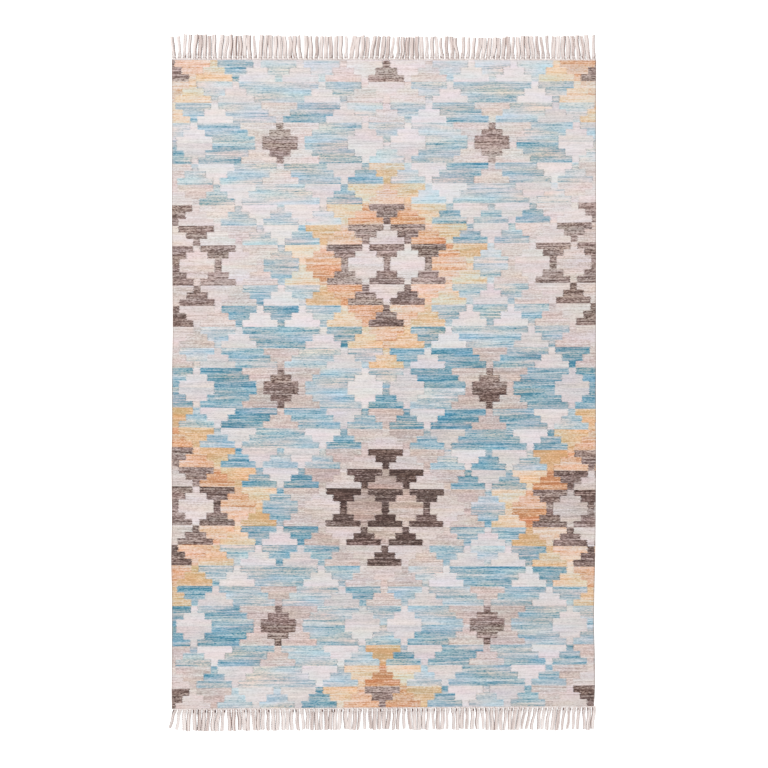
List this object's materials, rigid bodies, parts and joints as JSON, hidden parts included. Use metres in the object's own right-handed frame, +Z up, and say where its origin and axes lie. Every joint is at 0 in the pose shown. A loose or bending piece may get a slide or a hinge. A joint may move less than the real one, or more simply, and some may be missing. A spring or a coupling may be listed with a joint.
{
  "type": "kilim rug",
  "caption": "Flat handwoven kilim rug with stepped diamond medallions and a knotted fringe at each end.",
  "frame": {"origin": "on the floor under the middle of the whole rug, fringes included", "axes": "+X across the rug, +Y along it towards its far end, +Z up from the floor"},
  "size_m": [1.2082, 1.9696, 0.006],
  "materials": {
    "woven_wool": "matt weft-faced wool in muted blue, cream, apricot and brown",
    "warp_yarn": "matt undyed cotton yarn"
  },
  "bodies": {
    "root": {"woven_field": "woven_wool", "fringe_far_end": "warp_yarn", "fringe_near_end": "warp_yarn"}
  },
  "joints": []
}
